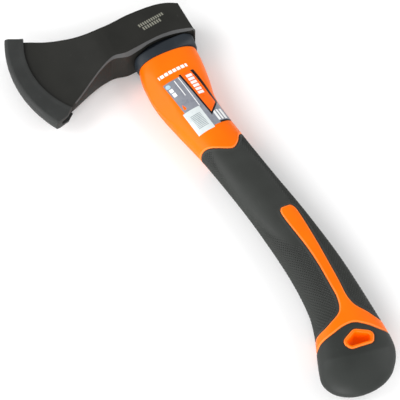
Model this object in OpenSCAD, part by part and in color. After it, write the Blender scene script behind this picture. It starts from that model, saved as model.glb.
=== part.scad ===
// Short felling axe (hatchet) lying on its side: forged head, moulded handle, slip-on edge guard.
// Row frame: +Z is up through the thickness, +Y runs from the butt to the head,
// -X is the way the cutting edge faces and +X is the poll side.
// The drawing frame used below has x = 0 on the eye's centre line, y = 0 on the underside
// of the head and z = 0 on the middle plane; seat() moves it to the row frame.

/* [Head] */
// Thickness of the head over the cheeks
head_t = 28.8; // [27:0.2:31]
// Poll face, distance from the eye's centre line
poll_x = 27.5; // [26:0.1:29]
// Radius of the curved cutting edge
edge_r = 103.6; // [102:0.2:105]
// Chamfer along the lower edge of each cheek
cheek_chamfer = 2.4; // [1:0.1:4]

/* [Eye] */
// Length of the eye at the underside
eye_l = 38; // [34:0.5:40]
// Width of the eye at the underside
eye_w = 19; // [17:0.5:21]
// Widening of the eye at the top, on each side
eye_flare = 1.6; // [0.5:0.1:2.4]

/* [Edge guard] */
// Thickness of the guard over both walls
guard_t = 9.2; // [8.6:0.1:10.5]
// Plastic in front of the cutting edge
guard_nose = 3; // [2.4:0.1:4]
// Clearance between the guard and the blade
guard_gap = 0.35; // [0.3:0.05:0.5]

/* [Handle] */
// Distance from the underside of the head to the end of the butt
butt_y = 324; // [321:0.5:328]
// Distance from the underside of the head to the top of the jacket
shoulder_y = 12; // [10:0.5:14]
// Thickness of the soft grip
grip_t = 3.2; // [2.4:0.1:3.8]
// Roundness of the handle's section, 2 is an ellipse
squareness = 2.4; // [2:0.1:3]

/* [Core] */
// Width of the glass fibre bar
core_w = 18; // [14:0.5:19]
// Thickness of the glass fibre bar
core_t = 11; // [8:0.5:12]

/* [Label] */
// Thickness of the label
label_t = 0.3; // [0.2:0.05:0.5]

/* [Hidden] */
$fn = 96;
eps = 0.01;

// Head: the crown line from poll to toe, and the beard line from heel to throat and arched underside
edge_c = [-6.8, 19.2];
crown = [[poll_x, 27], [19, 31.5], [7, 33.8], [-13, 33.6], [-34, 31], [-53, 33.4],
    [-74, 42.4], [-90, 51.3], [-103.2, 58]];
beard = [[-98.7, -28.7], [-86, -23], [-74, -16.4], [-62.5, -9.6], [-51, -3.6], [-40, -0.4],
    [-29, -2.6], [-19, -1], [-9, 1.2], [2, 2.2], [13, 1.4], [21, -0.4], [poll_x, -2]];
toe_y = 58;
heel_y = -28.7;
// Half thickness of the cheeks against x, from the flat eye walls to the thin blade
cheek = [[-36, head_t / 2], [-44, 13], [-52, 10.8], [-60, 8.4], [-72, 5.3], [-83, 3.4],
    [-95, 2.5], [-115, 2.2]];
// Half thickness of the ground bevel against the distance in from the edge
bevel = [[0, 0.25], [3, 1.1], [8, 1.9], [14, 2.6], [24, 5], [44, head_t / 2 + 1]];
poll_chamfer = 1.4;
cheek_arch = 4;

// Guard: end lines at the toe and heel, and the inner arc
guard_r = edge_r + guard_nose;
guard_toe = [[-104.8, 60.6], [-88, 54]];
guard_heel = [[-84.5, -22.4], [-89.7, -28], [-100.6, -31.2]];
guard_in_c = [-23.5, 22.5];
guard_in_r = 75;

// Handle: belly, back and half thickness against y
belly = [[-12, -24.2], [-24, -26.6], [-49, -27.2], [-76, -22.4], [-103, -16.6], [-140, -11.2],
    [-180, -6.8], [-222, -4.8], [-253, -6.8], [-272, -12], [-290, -19.4], [-303, -24], [-314, -25.4]];
back = [[-12, 24], [-24, 23.2], [-42, 20.6], [-60, 17], [-76, 17.2], [-103, 20.2],
    [-140, 24.8], [-180, 30.2], [-222, 34], [-253, 34.8], [-284, 34.8], [-296, 34.4], [-305, 33],
    [-314, 31.5]];
girth = [[-12, 13.8], [-24, 14.2], [-50, 14], [-76, 13.3], [-103, 12.8], [-140, 12.6],
    [-180, 12.9], [-222, 13.5], [-253, 14], [-284, 14.3], [-300, 14.35], [-324, 14.35]];
ring_seg = 32;
shaft_rings = 34;
dome_y = -300;
dome_rings = 9;
dome_pow = 2.1;

// Collar under the head, with a spigot that closes the eye's mouth under the resin
collar_gap = 2.9;
spigot_h = 7.4;
spigot_clear = 0.4;
resin_top = 30;

// Grip outlines seen from the side
grip_top = [[-30, -101], [-19, -103], [-12, -104], [-5.5, -107.7], [0, -111], [6, -112.7],
    [11.8, -108.5], [16, -102.5], [24, -97]];
stripe_left = [[12.5, -174], [10.2, -178], [11, -190], [13.2, -210], [13.8, -226],
    [13.2, -245], [12.4, -257], [8.5, -266.5], [-1, -271.3], [-10, -273.6], [-30, -274.5]];
stripe_right = [[20, -174], [22.6, -178], [23, -190], [22.6, -210], [21.8, -226],
    [20.8, -245], [19.8, -258], [21.5, -266.5], [27, -273.8], [32, -280.2], [42, -286]];
arch = [[-30, -283.5], [-16.6, -282.2], [-12.8, -280.8], [-3, -279.6], [6, -278],
    [14, -278.6], [22, -284], [30, -290.4], [42, -294]];
hole = [[2.6, -290.4], [10.6, -286.2], [19, -291.4], [17.2, -294.2], [3.6, -292.9]];
hole_round = 1.2;
hole_lining = 2.3;

// Glass fibre bar: its centre at the top of the eye and at its lower end
core_top = [-1.4, 30.4];
core_end = [12, -262];
core_lean = atan((core_end[0] - core_top[0]) / (core_top[1] - core_end[1]));
core_l = norm(core_end - core_top);
// Play between the bar and the faceted bore of the jacket
bar_play = 0.03;

// Label corners on the side of the shoulder
label_corners = [[-17.5, -41.5], [12.5, -33], [18.5, -88.5], [-12.5, -95]];
label_low = 2;

// Smooth curve through points [t, v], as the value at t (t may rise or fall along the list)
function seg_of(p, t, i = 0) =
    (i >= len(p) - 2 || (t - p[i][0]) * (t - p[i + 1][0]) <= 0) ? i : seg_of(p, t, i + 1);
function slope(p, i) =
    i == 0 ? (p[1][1] - p[0][1]) / (p[1][0] - p[0][0]) :
    i == len(p) - 1 ? (p[i][1] - p[i - 1][1]) / (p[i][0] - p[i - 1][0]) :
    (p[i + 1][1] - p[i - 1][1]) / (p[i + 1][0] - p[i - 1][0]);
function hermite(p, i, t) =
    let (h = p[i + 1][0] - p[i][0], u = min(1, max(0, (t - p[i][0]) / h)))
    (2 * u * u * u - 3 * u * u + 1) * p[i][1] + (u * u * u - 2 * u * u + u) * h * slope(p, i)
    + (3 * u * u - 2 * u * u * u) * p[i + 1][1] + (u * u * u - u * u) * h * slope(p, i + 1);
function along(p, t) = hermite(p, seg_of(p, t), t);

// Smooth plane curve through points, n steps to a span
function tangent(p, i) = (p[min(i + 1, len(p) - 1)] - p[max(i - 1, 0)]) / 2;
function bend(p, n = 4) = [
    for (i = [0:len(p) - 2]) for (k = [0:n - 1]) let (u = k / n)
        (2 * u * u * u - 3 * u * u + 1) * p[i] + (u * u * u - 2 * u * u + u) * tangent(p, i)
        + (3 * u * u - 2 * u * u * u) * p[i + 1] + (u * u * u - u * u) * tangent(p, i + 1),
    p[len(p) - 1]
];
function arc(c, r, y0, y1, n) = [
    for (k = [0:n]) let (y = y0 + (y1 - y0) * k / n) [c[0] - sqrt(r * r - (y - c[1]) * (y - c[1])), y]
];

// Handle section at y, grown outwards by g: half width, half thickness, centre, and the ring of points
function dome(y, g) = y >= dome_y ? 1 :
    let (u = (dome_y - y) / (dome_y + butt_y + g)) pow(1 - pow(min(u, 0.999), dome_pow), 1 / dome_pow);
function half(y, g) = ((along(back, y) - along(belly, y)) / 2 + g) * dome(y, g);
function thick(y, g) = (along(girth, y) + g) * dome(y, g);
function mid_x(y) = (along(back, y) + along(belly, y)) / 2;
function sgn_pow(v, e) = sign(v) * pow(abs(v), e);
function ring(y, g) = [
    for (k = [0:ring_seg - 1]) let (a = 360 * k / ring_seg)
        [mid_x(y) + half(y, g) * sgn_pow(cos(a), 2 / squareness), y,
        thick(y, g) * sgn_pow(sin(a), 2 / squareness)]
];
// Stations from the shoulder to the butt, closer together over the dome
function stations(g) = concat(
    [for (k = [0:shaft_rings]) -shoulder_y + (dome_y + shoulder_y) * k / shaft_rings],
    [for (k = [1:dome_rings]) dome_y - (dome_y + butt_y + g) * sin(90 * k / dome_rings)]
);
row_cx = (edge_c[0] - guard_r + max([for (y = [-300:1:-12]) along(back, y)])) / 2;
row_cy = (guard_toe[0][1] - butt_y) / 2;

module seat() {
    translate([-row_cx, -row_cy, head_t / 2]) children();
}

// Solid handle shape, grown by g
module blank(g) {
    ys = stations(g);
    rings = [for (y = ys) ring(y, g)];
    pts = [for (r = rings) for (p = r) p];
    last = len(ys) - 1;
    polyhedron(
        points = pts,
        faces = concat(
            [[for (k = [0:ring_seg - 1]) k]],
            [for (i = [0:last - 1]) for (k = [0:ring_seg - 1]) let (m = (k + 1) % ring_seg)
                [i * ring_seg + k, (i + 1) * ring_seg + k, (i + 1) * ring_seg + m, i * ring_seg + m]],
            [[for (k = [ring_seg - 1:-1:0]) last * ring_seg + k]]
        ),
        convexity = 4
    );
}

// Through cut in the side view
module side_cut(points) {
    translate([0, 0, -30]) linear_extrude(60) polygon(points);
}

// Everything on the head side of the grip's upper edge
module above_grip() {
    side_cut(concat(bend(grip_top), [[40, -97], [40, 20], [-40, 20], [-40, -101]]));
}

// Everything on the butt side of the arch over the hang hole
module below_arch() {
    side_cut(concat(bend(arch), [[42, -340], [-40, -340], [-40, -283.5]]));
}

// Orange stripe that runs down the grip and forks round the butt
module stripe_cut() {
    side_cut(concat(bend(stripe_left), [[-30, -283.5]], bend(arch), [[42, -286]],
        [for (k = [len(bend(stripe_right)) - 1:-1:0]) bend(stripe_right)[k]]));
}

// Rounded triangle of the hang hole, grown by g
module hole_cut(g) {
    translate([0, 0, -30]) linear_extrude(60) offset(r = hole_round + g, $fn = 24) polygon(hole);
}

// Glass fibre bar, grown by g
module bar(g) {
    w = core_w + 2 * g - core_t;
    t = core_t + 2 * g;
    translate([core_end[0], core_end[1], 0]) rotate([-90, 0, core_lean]) linear_extrude(core_l) {
        square([w, t], center = true);
        for (s = [-1, 1]) translate([s * w / 2, 0]) circle(d = t, $fn = 48);
    }
}

// Rounded slot section, for the eye and the collar's spigot
module slot(l, w, h) {
    linear_extrude(h) {
        square([l - w, w], center = true);
        for (s = [-1, 1]) translate([s * (l - w) / 2, 0]) circle(d = w, $fn = 64);
    }
}

// Tapered eye, wider at the crown
module eye() {
    hull() {
        translate([0, -4, 0]) rotate([-90, 0, 0]) slot(eye_l, eye_w, eps, $fn = 32);
        translate([0, 36, 0]) rotate([-90, 0, 0])
            slot(eye_l + 2 * eye_flare, eye_w + 2 * eye_flare, eps, $fn = 32);
    }
}

module head_outline() {
    edge = arc(edge_c, edge_r, toe_y, heel_y, 24);
    polygon(concat(bend(crown), [for (k = [1:23]) edge[k]], bend(beard)));
}

// Lens that gives the ground bevel a constant width along the curved edge, grown by g
module edge_lens(g) {
    rim = [for (p = bevel) [edge_r + g - p[0], p[1] + g]];
    translate([edge_c[0], edge_c[1], 0]) rotate_extrude($fn = 180)
        polygon(concat([[0, -20]], [for (k = [len(rim) - 1:-1:0]) [rim[k][0], -rim[k][1]]], rim, [[0, 20]]));
}

// Wedge of the cheeks seen from the crown, grown by g
module cheek_wedge(g) {
    side = [for (x = [-112:4:-36]) [x, along(cheek, x) + g]];
    front = concat(side, [[poll_x - poll_chamfer, head_t / 2 + g], [poll_x + g, head_t / 2 - poll_chamfer + g]]);
    translate([0, 100, 0]) rotate([90, 0, 0]) linear_extrude(200)
        polygon(concat(front, [for (k = [len(front) - 1:-1:0]) [front[k][0], -front[k][1]]]));
}

// Limits of the head seen from the poll: chamfered lower edges of the cheeks
module poll_shape() {
    h = head_t / 2;
    translate([-130, 0, 0]) rotate([90, 0, 90]) linear_extrude(170)
        polygon([[-60, -h + cheek_chamfer], [-2, -h + cheek_chamfer], [cheek_arch, -h], [60, -h],
            [60, h], [cheek_arch, h], [-2, h - cheek_chamfer], [-60, h - cheek_chamfer]]);
}

module axe_head() {
    color([0.13, 0.13, 0.13]) seat() difference() {
        intersection() {
            translate([0, 0, -20]) linear_extrude(40) head_outline();
            cheek_wedge(0);
            poll_shape();
            edge_lens(0);
        }
        eye();
    }
}

module guard_outline() {
    inner = arc(guard_in_c, guard_in_r, guard_heel[0][1], guard_toe[1][1], 16);
    polygon(concat(arc(edge_c, guard_r, guard_toe[0][1], guard_heel[2][1], 24), [guard_heel[1]], inner));
}

// Slip-on crescent: a channel that is open the way it pulls off
module edge_guard() {
    nose = guard_t / 2;
    color([0.2, 0.21, 0.22]) seat() difference() {
        intersection() {
            translate([0, 0, -nose]) linear_extrude(guard_t) guard_outline();
            translate([edge_c[0], edge_c[1], 0]) rotate_extrude($fn = 180)
                polygon([[0, -nose], [guard_r - 2.5, -nose], [guard_r - 0.8, -nose + 1.1], [guard_r, -nose + 3],
                    [guard_r, nose - 3], [guard_r - 0.8, nose - 1.1], [guard_r - 2.5, nose], [0, nose]]);
        }
        intersection() {
            cheek_wedge(guard_gap);
            edge_lens(guard_gap);
            translate([-120, heel_y - guard_gap, -20]) cube([120, toe_y - heel_y + 2 * guard_gap, 40]);
        }
    }
}

module collar() {
    top = -collar_gap;
    h = shoulder_y - collar_gap;
    color([0.17, 0.19, 0.22]) seat() difference() {
        union() {
            translate([mid_x(-shoulder_y) + 0.5, top - h, 0]) rotate([-90, 0, 0]) linear_extrude(h)
                polygon([for (k = [0:47]) let (a = 360 * k / 48)
                    [half(-shoulder_y, 0.8) * sgn_pow(cos(a), 2 / squareness),
                    (thick(-shoulder_y, 0) - 0.6) * sgn_pow(sin(a), 2 / squareness)]]);
            translate([0, top - eps, 0]) rotate([-90, 0, 0])
                slot(eye_l - 2 * spigot_clear, eye_w - 2 * spigot_clear, spigot_h);
        }
        bar(0);
    }
}

module eye_resin() {
    color([0.75, 0.7, 0.5]) seat() difference() {
        intersection() {
            eye();
            translate([-40, spigot_h - collar_gap, -20]) cube([80, resin_top - spigot_h + collar_gap, 40]);
        }
        bar(0);
    }
}

module fibreglass_core() {
    color([0.85, 0.8, 0.55]) seat() bar(0);
}

module handle_jacket() {
    color([1, 0.42, 0.02]) seat() resize([0, 0, 0]) difference() {
        union() {
            blank(-grip_t);
            intersection() {
                blank(0);
                union() {
                    above_grip();
                    stripe_cut();
                    hole_cut(hole_lining);
                }
            }
        }
        hole_cut(0);
        bar(bar_play);
    }
}

module grip_sleeve() {
    color([0.12, 0.13, 0.13]) seat() resize([0, 0, 0]) difference() {
        blank(0);
        blank(-grip_t);
        above_grip();
        stripe_cut();
        below_arch();
    }
}

module butt_cap() {
    color([0.12, 0.13, 0.13]) seat() resize([0, 0, 0]) difference() {
        intersection() {
            blank(0);
            below_arch();
        }
        blank(-grip_t);
        hole_cut(hole_lining);
    }
}

module product_label() {
    color([0.55, 0.57, 0.6]) seat() resize([0, 0, 0]) difference() {
        intersection() {
            blank(label_t);
            translate([0, 0, label_low]) linear_extrude(30) polygon(label_corners);
        }
        blank(0);
    }
}

axe_head();
edge_guard();
collar();
eye_resin();
fibreglass_core();
handle_jacket();
grip_sleeve();
butt_cap();
product_label();
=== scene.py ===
import math

import bmesh
import bpy
import numpy as np
from mathutils import Matrix, Vector


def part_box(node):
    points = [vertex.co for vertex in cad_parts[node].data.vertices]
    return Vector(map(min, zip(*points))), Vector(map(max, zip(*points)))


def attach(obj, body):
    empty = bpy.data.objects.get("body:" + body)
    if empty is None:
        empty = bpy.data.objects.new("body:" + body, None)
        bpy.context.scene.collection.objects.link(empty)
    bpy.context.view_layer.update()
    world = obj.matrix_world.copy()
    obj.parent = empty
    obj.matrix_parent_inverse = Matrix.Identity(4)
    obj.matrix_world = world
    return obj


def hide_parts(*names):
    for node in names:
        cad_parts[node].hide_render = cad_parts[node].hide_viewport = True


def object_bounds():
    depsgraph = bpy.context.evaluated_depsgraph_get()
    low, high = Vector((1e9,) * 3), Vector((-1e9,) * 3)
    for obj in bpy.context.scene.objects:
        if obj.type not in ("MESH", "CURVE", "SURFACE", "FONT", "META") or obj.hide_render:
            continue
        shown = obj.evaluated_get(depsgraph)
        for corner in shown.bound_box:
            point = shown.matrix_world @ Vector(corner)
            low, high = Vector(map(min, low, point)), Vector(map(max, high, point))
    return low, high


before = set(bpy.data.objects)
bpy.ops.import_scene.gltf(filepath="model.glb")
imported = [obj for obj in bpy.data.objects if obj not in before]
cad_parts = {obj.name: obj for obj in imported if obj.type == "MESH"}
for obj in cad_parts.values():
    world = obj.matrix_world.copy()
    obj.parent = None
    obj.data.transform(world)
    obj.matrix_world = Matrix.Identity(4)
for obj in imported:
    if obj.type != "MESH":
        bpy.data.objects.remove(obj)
cad_low, cad_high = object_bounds()

# ---------------------------------------------------------------- the maker's drawing frame
# Millimetres: x = 0 on the eye's centre line with the poll at +x, y = 0 on the underside of the
# head with the handle at -y, and z = 0 on the middle plane.
MM = 0.001
POLL_X = 27.5
BUTT_Y = 324.0
head_low, head_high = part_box("axe_head")
EYE_X = head_high.x / MM - POLL_X
EYE_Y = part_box("butt_cap")[0].y / MM + BUTT_Y
MID_Z = (head_low.z + head_high.z) / 2 / MM
HEAD_HALF = (head_high.z - head_low.z) / 2 / MM
GUARD_HALF = (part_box("edge_guard")[1].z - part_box("edge_guard")[0].z) / 2 / MM
COLLAR_TOP = -2.9
SHOULDER_Y = -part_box("collar")[0].y / MM + EYE_Y
GRIP_T = 3.2
LABEL_T = 0.25


def to_row(points):
    """Drawing millimetres to metres in the row frame."""
    return (np.asarray(points, float) + (EYE_X, EYE_Y, MID_Z)) * MM


# ---------------------------------------------------------------- curves
SPAN_STEPS = 5  # pieces to a span of a smooth line
BATCH = 4000  # points measured against an outline at once


def along(points, t):
    """Value at t on the smooth curve through [t, value] points."""
    p = np.array(sorted(points), float)
    t = np.asarray(t, float)
    rise = np.diff(p[:, 1]) / np.diff(p[:, 0])
    middle = (p[2:, 1] - p[:-2, 1]) / (p[2:, 0] - p[:-2, 0])
    slope = np.concatenate([rise[:1], middle, rise[-1:]])
    i = np.clip(np.searchsorted(p[:, 0], t) - 1, 0, len(p) - 2)
    h = p[i + 1, 0] - p[i, 0]
    u = np.clip((t - p[i, 0]) / h, 0, 1)
    start = (2 * u**3 - 3 * u**2 + 1) * p[i, 1] + (u**3 - 2 * u**2 + u) * h * slope[i]
    end = (3 * u**2 - 2 * u**3) * p[i + 1, 1] + (u**3 - u**2) * h * slope[i + 1]
    return start + end


def bend(points):
    """Smooth plane line through points."""
    p = np.array(points, float)
    n = np.arange(len(p))
    tangents = (p[np.minimum(n + 1, n[-1])] - p[np.maximum(n - 1, 0)]) / 2
    line = []
    for a, b, ta, tb in zip(p, p[1:], tangents, tangents[1:]):
        for u in np.arange(SPAN_STEPS) / SPAN_STEPS:
            line.append((2 * u**3 - 3 * u**2 + 1) * a + (u**3 - 2 * u**2 + u) * ta
                        + (3 * u**2 - 2 * u**3) * b + (u**3 - u**2) * tb)
    return np.array(line + [p[-1]])


def arc(centre, radius, y0, y1, steps):
    """Left-hand arc of a circle between two heights."""
    y = np.linspace(y0, y1, steps + 1)
    return np.column_stack([centre[0] - np.sqrt(radius**2 - (y - centre[1]) ** 2), y])


def inside(polygon, xy):
    """Distance into a closed outline, negative outside it."""
    a = np.asarray(polygon, float)
    b = np.roll(a, -1, axis=0)
    found = np.empty(len(xy))
    for start in range(0, len(xy), BATCH):
        p = xy[start:start + BATCH, None, :]
        d = b - a
        share = np.clip(((p - a) * d).sum(2) / np.maximum((d * d).sum(1), 1e-12), 0, 1)
        gap = np.sqrt((((p - a) - share[..., None] * d) ** 2).sum(2)).min(1)
        crosses = (a[:, 1] > p[..., 1]) != (b[:, 1] > p[..., 1])
        rise = np.where(d[:, 1] == 0, 1, d[:, 1])
        hits = crosses & (p[..., 0] < a[:, 0] + (p[..., 1] - a[:, 1]) / rise * d[:, 0])
        found[start:start + BATCH] = np.where(hits.sum(1) % 2 == 1, gap, -gap)
    return found


def round_over(depth_in, radius, drop):
    """How far a rounded rim has dropped, at a distance in from it."""
    u = np.clip(1 - np.asarray(depth_in) / radius, 0, 1)
    return drop * (1 - np.sqrt(1 - u**2))


def fade(value, low, high):
    """0 below low, 1 above high, smooth between."""
    u = np.clip((value - low) / (high - low), 0, 1)
    return u * u * (3 - 2 * u)


def soft_min(a, b, radius):
    """The smaller of two, blended over a radius."""
    h = np.clip(0.5 + (b - a) / (2 * radius), 0, 1)
    return b * (1 - h) + a * h - radius * h * (1 - h)


# ---------------------------------------------------------------- the handle's skin
BELLY = [(-12, -24.2), (-24, -26.6), (-49, -27.2), (-76, -22.4), (-103, -16.6), (-140, -11.2),
         (-180, -6.8), (-222, -4.8), (-253, -6.8), (-272, -12), (-290, -19.4), (-303, -24), (-314, -25.4)]
BACK = [(-12, 24), (-24, 23.2), (-42, 20.6), (-60, 17), (-76, 17.2), (-103, 20.2),
        (-140, 24.8), (-180, 30.2), (-222, 34), (-253, 34.8), (-284, 34.8), (-296, 34.4), (-305, 33),
        (-314, 31.5)]
GIRTH = [(-12, 13.8), (-24, 14.2), (-50, 14), (-76, 13.3), (-103, 12.8), (-140, 12.6),
         (-180, 12.9), (-222, 13.5), (-253, 14), (-284, 14.3), (-300, 14.35), (-324, 14.35)]
SQUARENESS = 2.4
DOME_Y = -300.0
DOME_POWER = 2.1
DOME_ARC = 36.0
SHAFT = -DOME_Y - SHOULDER_Y
AROUND = 58.0
# Half width and half thickness of a middling section
MIDDLING = (21, 13.4)
# Slanted edge where the flat side of the butt turns into the dome, and how far and how fast it drops
BUTT_EDGE = [(-40, -285.5), (-21.4, -292.2), (-4.4, -298.6), (12.5, -302.6), (40, -305)]
BUTT_DROP, BUTT_DROP_RATE = 0.4, 0.62
# Line down the shoulder where the flat side turns into the belly's slanted face, and that face
SHOULDER_EDGE = [(-14, -17.6), (-40, -17.4), (-65, -15.6), (-93, -13.2), (-120, -10)]
FACET_TOP, FACET_SLOPE = 13.5, 1.05


def angles_by_arc():
    """Angle round a middling section against the distance round it, from back to belly."""
    a = np.linspace(0, math.pi, 721)
    x = MIDDLING[0] * np.sign(np.cos(a)) * np.abs(np.cos(a)) ** (2 / SQUARENESS)
    z = MIDDLING[1] * np.sin(a) ** (2 / SQUARENESS)
    run = np.concatenate([[0], np.cumsum(np.hypot(np.diff(x), np.diff(z)))])
    return a, run / run[-1]


ANGLES, ARC_SHARES = angles_by_arc()


def mid_x(y):
    return (along(BACK, y) + along(BELLY, y)) / 2


def half_width(y):
    return (along(BACK, y) - along(BELLY, y)) / 2


def skin(points, sink=0.0):
    """Points of the handle's skin. A point is the distance from the shoulder and the distance round
    from the back, and sink is how deep under the skin it lies."""
    s, w = points[:, 0], points[:, 1] / AROUND
    turn = np.clip((s - SHAFT) / DOME_ARC, 0, 1) * math.pi / 2
    station = DOME_Y - (BUTT_Y + DOME_Y) * np.sin(turn)
    y = np.where(s < SHAFT, -SHOULDER_Y - s, station + sink * np.sin(turn))
    dome = (1 - np.minimum(np.sin(turn), 0.99995) ** DOME_POWER) ** (1 / DOME_POWER)
    a = np.interp(w, ARC_SHARES, ANGLES)
    reach = np.sign(np.cos(a)) * np.abs(np.cos(a)) ** (2 / SQUARENESS)
    lift = np.maximum(np.sin(a), 0) ** (2 / SQUARENESS)
    x = mid_x(y) + (half_width(y) - sink) * dome * reach
    z = (along(GIRTH, y) - sink) * dome * np.where(w < 1e-6, 0, np.where(w > 1 - 1e-6, 0, lift))
    slant = FACET_TOP - sink - FACET_SLOPE * (along(SHOULDER_EDGE, y) - x)
    facet = np.maximum(z - soft_min(z, slant, 0.5), 0) * fade(y, -118, -88) * fade(-y, 13, 34)
    z = np.where(np.abs(z) > 1e-9, np.maximum(z - facet, 0.02 * z), z)
    past = np.maximum(along(BUTT_EDGE, x) - y, 0)
    z = z * (1 - BUTT_DROP * (1 - np.exp(-BUTT_DROP_RATE * past / np.maximum(z, 0.5))))
    return np.column_stack([x, y, z])


def side_view(points):
    return skin(points)[:, :2]


# ---------------------------------------------------------------- outlines seen from the side
GRIP_TOP = [(-30, -101), (-19, -103), (-12, -104), (-5.5, -107.7), (0, -111), (6, -112.7),
            (11.8, -108.5), (16, -102.5), (24, -97)]
STRIPE_LEFT = [(12.5, -174), (10.2, -178), (11, -190), (13.2, -210), (13.8, -226),
               (13.2, -245), (12.4, -257), (8.5, -266.5), (-1, -271.3), (-10, -273.6), (-30, -274.5)]
STRIPE_RIGHT = [(20, -174), (22.6, -178), (23, -190), (22.6, -210), (21.8, -226),
                (20.8, -245), (19.8, -258), (21.5, -266.5), (27, -273.8), (32, -280.2), (42, -286)]
ARCH = [(-30, -283.5), (-16.6, -282.2), (-12.8, -280.8), (-3, -279.6), (6, -278),
        (14, -278.6), (22, -284), (30, -290.4), (42, -294)]
HOLE = [(3.9, -290.5), (10.6, -287.3), (17.8, -291.3), (16.6, -293.2), (4.6, -292)]
HOLE_ROUND = 1.7
HOLE_LINING = 2.7

ABOVE_GRIP = np.vstack([bend(GRIP_TOP), [(40, -97), (40, 20), (-40, 20), (-40, -101)]])
FORK = np.vstack([bend(STRIPE_LEFT), [(-30, -283.5)], bend(ARCH), [(42, -286)], bend(STRIPE_RIGHT)[::-1]])
BELOW_ARCH = np.vstack([bend(ARCH), [(42, -340), (-40, -340), (-40, -283.5)]])


def grip_depth(points):
    """Distance inside the soft grip's outline."""
    xy = side_view(points)
    return -np.maximum(np.maximum(inside(ABOVE_GRIP, xy), inside(FORK, xy)), inside(BELOW_ARCH, xy))


def hole_depth(points):
    """Distance inside the hang hole."""
    return inside(HOLE, side_view(points)) + HOLE_ROUND


def cap_depth(points):
    """Distance inside the butt cap's outline, clear of the hole's lining."""
    return np.minimum(inside(BELOW_ARCH, side_view(points)), -hole_depth(points) - HOLE_LINING)


def linked(name, data):
    """A new object in the scene."""
    made = bpy.data.objects.new(name, data)
    bpy.context.scene.collection.objects.link(made)
    return made


# ---------------------------------------------------------------- sheets: cut flat, then shaped
def sheet(lengths, widths):
    """Flat grid with a vertex at each length and width."""
    made = bmesh.new()
    rows = [[made.verts.new((s, w, 0)) for w in widths] for s in lengths]
    for upper, lower in zip(rows, rows[1:]):
        for a, b, c, d in zip(upper, lower, lower[1:], upper[1:]):
            made.faces.new((a, b, c, d))
    return made


def flat_points(items):
    return np.array([tuple(v.co)[:2] for v in items])


def cut(made, depth, level=0.0, near=0.02):
    """Cuts the sheet along the line where depth is level."""
    verts = list(made.verts)
    values = depth(flat_points(verts)) - level
    values[np.abs(values) < near] = 0
    side = dict(zip(verts, values))
    for edge in list(made.edges):
        a, b = edge.verts
        if side[a] * side[b] < 0:
            new_vert = bmesh.utils.edge_split(edge, a, side[a] / (side[a] - side[b]))[1]
            side[new_vert] = 0.0
    for face in list(made.faces):
        signs = {np.sign(side[v]) for v in face.verts}
        if len(signs) < 3:
            continue
        on_line = [v for v in face.verts if side[v] == 0]
        bmesh.utils.face_split(face, on_line[0], on_line[-1])


def shape(made, kind_of, uppers, lowers=None, mirrored=True, wall=None):
    """Shapes a cut sheet into a closed solid and gives its vertices, faces and the kind of each face.
    kind_of gives each face's kind, or "" to leave it out. uppers places the kinds' outer surface, and
    lowers their inner one. A kind with no inner surface is solid down to its mirror image, and wall is
    the kind of the walls that join the two."""
    lowers = lowers or {}
    verts = list(made.verts)
    number = {v: i for i, v in enumerate(verts)}
    flat = flat_points(verts)
    faces = list(made.faces)
    centres = np.array([np.mean([flat[number[v]] for v in f.verts], axis=0) for f in faces])
    kinds = dict(zip(faces, kind_of(centres)))
    places = {("upper", k): uppers[k](flat) for k in uppers}
    places.update({("lower", k): lowers[k](flat) for k in lowers})
    out_verts, out_faces, out_kinds, known = [], [], [], {}

    def corner(layer, kind, vert, flipped=False):
        key = (layer, kind, number[vert], flipped)
        if key not in known:
            x, y, z = places[(layer, kind)][number[vert]]
            known[key] = len(out_verts)
            out_verts.append((x, y, -z if flipped else z))
        return known[key]

    def add(corners, kind):
        if len(set(corners)) > 2:
            out_faces.append(tuple(corners))
            out_kinds.append(kind)

    sides = (False, True) if mirrored else (False,)
    for flipped in sides:
        for face, kind in kinds.items():
            if not kind:
                continue
            ring = [corner("upper", kind, v, flipped) for v in face.verts]
            add(ring[::-1] if flipped else ring, kind)
            if kind in lowers:
                ring = [corner("lower", kind, v, flipped) for v in face.verts]
                add(ring if flipped else ring[::-1], kind)
    for edge in made.edges:
        a, b = edge.verts
        pair = [kinds[f] for f in edge.link_faces]
        if len(pair) < 2 or pair[0] == pair[1]:
            continue
        for flipped in sides:
            if "" not in pair:
                add([corner("upper", pair[0], a, flipped), corner("upper", pair[0], b, flipped),
                     corner("upper", pair[1], b, flipped), corner("upper", pair[1], a, flipped)], pair[0])
            kind = next(k for k in pair if k)
            if "" in pair and kind in lowers:
                add([corner("upper", kind, a, flipped), corner("upper", kind, b, flipped),
                     corner("lower", kind, b, flipped), corner("lower", kind, a, flipped)], kind)
        one_hollow = "" not in pair and (pair[0] in lowers) != (pair[1] in lowers)
        through = [("lower", k) for k in pair if k in lowers] if one_hollow else []
        if "" in pair and kind not in lowers:
            through = [("upper", kind)]
        for layer, k in through:
            add([corner(layer, k, a), corner(layer, k, b),
                 corner(layer, k, b, True), corner(layer, k, a, True)], wall or k)
    made.free()
    return out_verts, out_faces, out_kinds


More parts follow.
